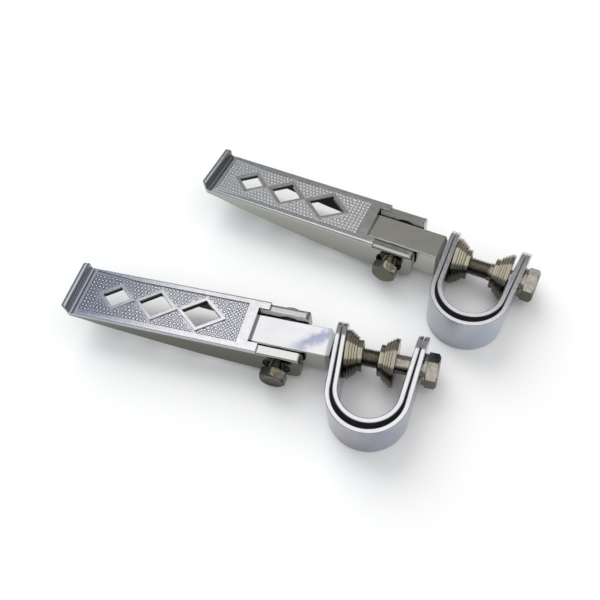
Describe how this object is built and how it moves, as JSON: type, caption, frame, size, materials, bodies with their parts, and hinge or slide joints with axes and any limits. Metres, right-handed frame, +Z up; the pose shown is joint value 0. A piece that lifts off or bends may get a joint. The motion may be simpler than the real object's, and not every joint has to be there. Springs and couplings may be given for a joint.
{
  "type": "pair of clamp-on folding foot pegs",
  "caption": "Folding foot pegs with a pebbled tread, diamond cut-outs, and a U clamp with stepped cones for a round tube.",
  "frame": {"origin": "middle of the pair, on the surface that it lies on", "axes": "+X along the front peg from its lip toward its clamp, +Y from the front peg to the back peg, +Z up"},
  "size_m": [0.2474, 0.1596, 0.0295],
  "materials": {
    "bright_casting": "bright plated",
    "plated_bar": "bright plated",
    "plated_strap": "satin plated",
    "black_rubber": "matte",
    "steel_fastener": "bright",
    "turned_steel": "turned"
  },
  "bodies": {
    "clamps": {"front_outer_strap": "plated_strap", "front_rubber_liner": "black_rubber", "front_inner_strap": "plated_strap", "front_clamp_bolt": "steel_fastener", "front_lock_washer": "steel_fastener", "front_seated_cone": "turned_steel", "back_outer_strap": "plated_strap", "back_rubber_liner": "black_rubber", "back_inner_strap": "plated_strap", "back_clamp_bolt": "steel_fastener", "back_lock_washer": "steel_fastener", "back_seated_cone": "turned_steel"},
    "front_bar": {"front_mount_bar": "plated_bar"},
    "front_tread": {"front_tread_plate": "bright_casting", "front_pivot_bolt": "steel_fastener", "front_pivot_washers": "steel_fastener"},
    "front_cone": {"front_loose_cone": "turned_steel"},
    "back_bar": {"back_mount_bar": "plated_bar"},
    "back_tread": {"back_tread_plate": "bright_casting", "back_pivot_bolt": "steel_fastener", "back_pivot_washers": "steel_fastener"},
    "back_cone": {"back_loose_cone": "turned_steel"}
  },
  "joints": [
    {"name": "front_bar_swivel", "type": "hinge", "parent": "clamps", "child": "front_bar", "pos_m": [0.02477, -0.03443, 0.0132], "axis": [1, 0, 0], "continuous": true},
    {"name": "front_tread_fold", "type": "hinge", "parent": "front_bar", "child": "front_tread", "pos_m": [-0.00173, -0.03443, 0.0132], "axis": [0, 1, 0], "range_deg": [0, 90]},
    {"name": "front_cone_slide", "type": "slide", "parent": "clamps", "child": "front_cone", "axis": [1, 0, 0], "range_m": [-0.00782, 0.0062]},
    {"name": "back_bar_swivel", "type": "hinge", "parent": "clamps", "child": "back_bar", "pos_m": [0.07079, 0.03726, 0.0132], "axis": [0.982, -0.1891, 0], "continuous": true},
    {"name": "back_tread_fold", "type": "hinge", "parent": "back_bar", "child": "back_tread", "pos_m": [0.04477, 0.04227, 0.0132], "axis": [0.1891, 0.982, 0], "range_deg": [0, 90]},
    {"name": "back_cone_slide", "type": "slide", "parent": "clamps", "child": "back_cone", "axis": [0.982, -0.1891, 0], "range_m": [-0.01258, 0.0006]}
  ]
}
